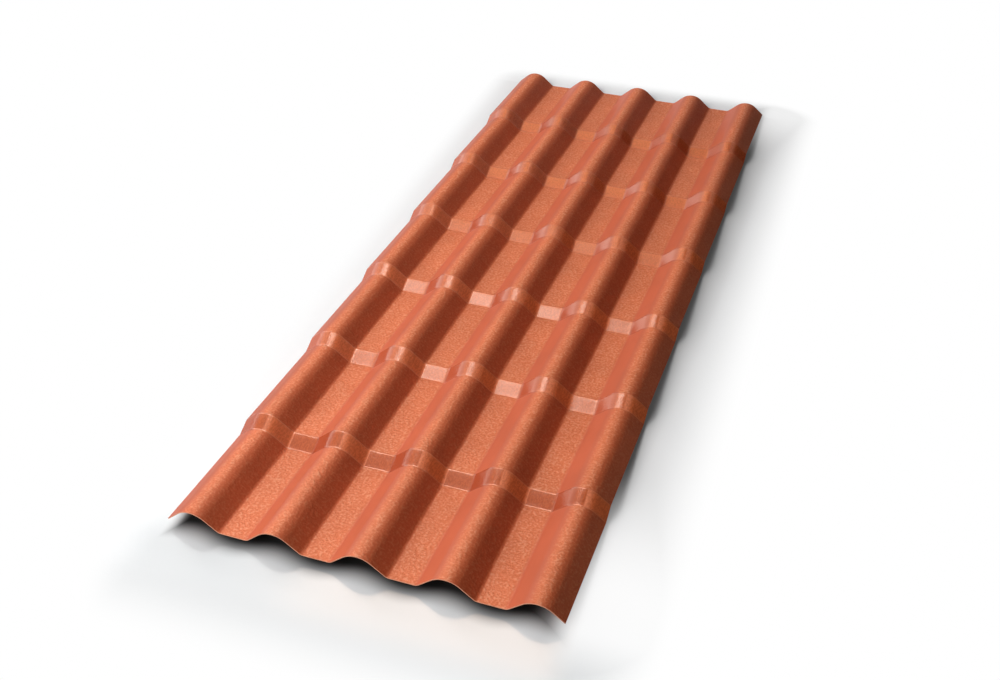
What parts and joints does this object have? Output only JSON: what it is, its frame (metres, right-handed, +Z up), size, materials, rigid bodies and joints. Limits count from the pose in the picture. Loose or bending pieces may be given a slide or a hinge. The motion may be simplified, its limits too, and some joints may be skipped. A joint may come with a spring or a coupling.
{
  "type": "pvc roof sheet",
  "caption": "Moulded tile-effect roof sheet: rounded crests run up the slope between flat pans, and a stepped riser crosses it at each tile row.",
  "frame": {"origin": "centre of the sheet's footprint, at the level that its lowest parts rest on", "axes": "+X across the crests, +Y up the roof slope from the eave end to the ridge end, +Z up out of the weathered face"},
  "size_m": [0.88, 2.3002, 0.0581],
  "materials": {
    "terracotta_pvc": "fine moulded grain with a low sheen, smooth on the risers"
  },
  "bodies": {
    "root": {"roof_sheet": "terracotta_pvc"}
  },
  "joints": []
}
